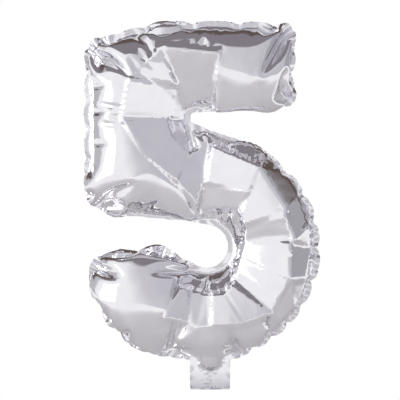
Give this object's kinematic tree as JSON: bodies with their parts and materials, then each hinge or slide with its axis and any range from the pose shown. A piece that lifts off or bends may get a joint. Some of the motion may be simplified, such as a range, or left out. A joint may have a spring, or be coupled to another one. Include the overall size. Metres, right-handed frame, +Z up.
{
  "type": "foil number balloon",
  "caption": "Inflated silver foil balloon in the shape of the figure five, with a welded rim and a flat filling tail that folds at the throat.",
  "frame": {"origin": "middle of the throat in the seam plane, where the tail leaves the body and folds, and where a tie goes round the neck", "axes": "+Z up through the figure, +X to the right as the figure is read, the readable front faces -Y"},
  "size_m": [0.244, 0.0794, 0.3795],
  "materials": {
    "silver_foil": "bright vacuum-metallised polyester film",
    "heat_seal": "heat-sealed polyethylene layer between the films",
    "valve_film": "clear polyethylene film"
  },
  "bodies": {
    "envelope": {"front_film": "silver_foil", "back_film": "silver_foil", "perimeter_weld": "heat_seal", "valve_front_film": "valve_film", "valve_back_film": "valve_film", "valve_side_welds": "valve_film"},
    "tail": {"tail_front_film": "silver_foil", "tail_back_film": "silver_foil", "tail_side_welds": "heat_seal", "inlet_front_film": "valve_film", "inlet_back_film": "valve_film"}
  },
  "joints": [
    {"name": "tail_fold", "type": "hinge", "parent": "envelope", "child": "tail", "pos_m": [0, 0, 0], "axis": [1, 0, 0], "range_deg": [-90, 90]}
  ]
}
